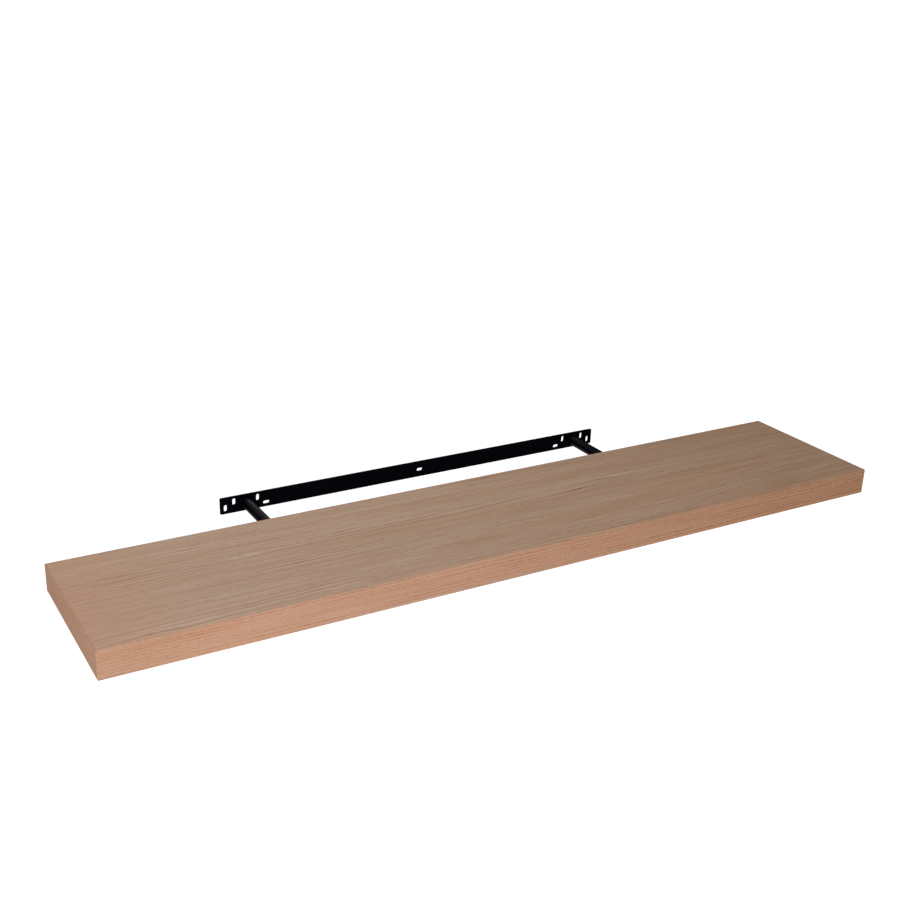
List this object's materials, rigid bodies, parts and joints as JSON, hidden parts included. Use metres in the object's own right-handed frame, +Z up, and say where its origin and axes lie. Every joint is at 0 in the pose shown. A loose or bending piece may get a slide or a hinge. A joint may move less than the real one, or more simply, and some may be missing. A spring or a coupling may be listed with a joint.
{
  "type": "floating wall shelf",
  "caption": "Thick wood-look shelf board, hollow inside, that slides onto a hidden black steel bracket: a slotted wall strip with round support rods.",
  "frame": {"origin": "on the wall, at the middle of the bracket's length and on the height of the rods' axes, which is the middle of the board's thickness", "axes": "+X to the right along the shelf, +Y into the wall, +Z up"},
  "size_m": [1.18, 0.342, 0.038],
  "materials": {
    "black_steel": "satin black powder coat",
    "oak_decor": "matt oak-look decor, grain along the length",
    "oak_band": "matt oak-look edge band, warmer than the faces",
    "chipboard": "raw chipboard",
    "guide_wood": "raw softwood",
    "cardboard": "raw cardboard"
  },
  "bodies": {
    "bracket": {"wall_plate": "black_steel", "left_rod": "black_steel", "right_rod": "black_steel", "left_weld": "black_steel", "right_weld": "black_steel"},
    "shelf": {"top_skin": "oak_decor", "bottom_skin": "oak_decor", "front_rail": "chipboard", "back_rail": "chipboard", "left_end_rail": "chipboard", "right_end_rail": "chipboard", "left_guide_block": "guide_wood", "right_guide_block": "guide_wood", "left_honeycomb": "cardboard", "middle_honeycomb": "cardboard", "right_honeycomb": "cardboard", "front_edge_band": "oak_band", "back_edge_band": "oak_band", "left_edge_band": "oak_band", "right_edge_band": "oak_band"}
  },
  "joints": [
    {"name": "shelf_slide", "type": "slide", "parent": "bracket", "child": "shelf", "axis": [0, 1, 0], "range_m": [-0.08, 0.107]}
  ]
}
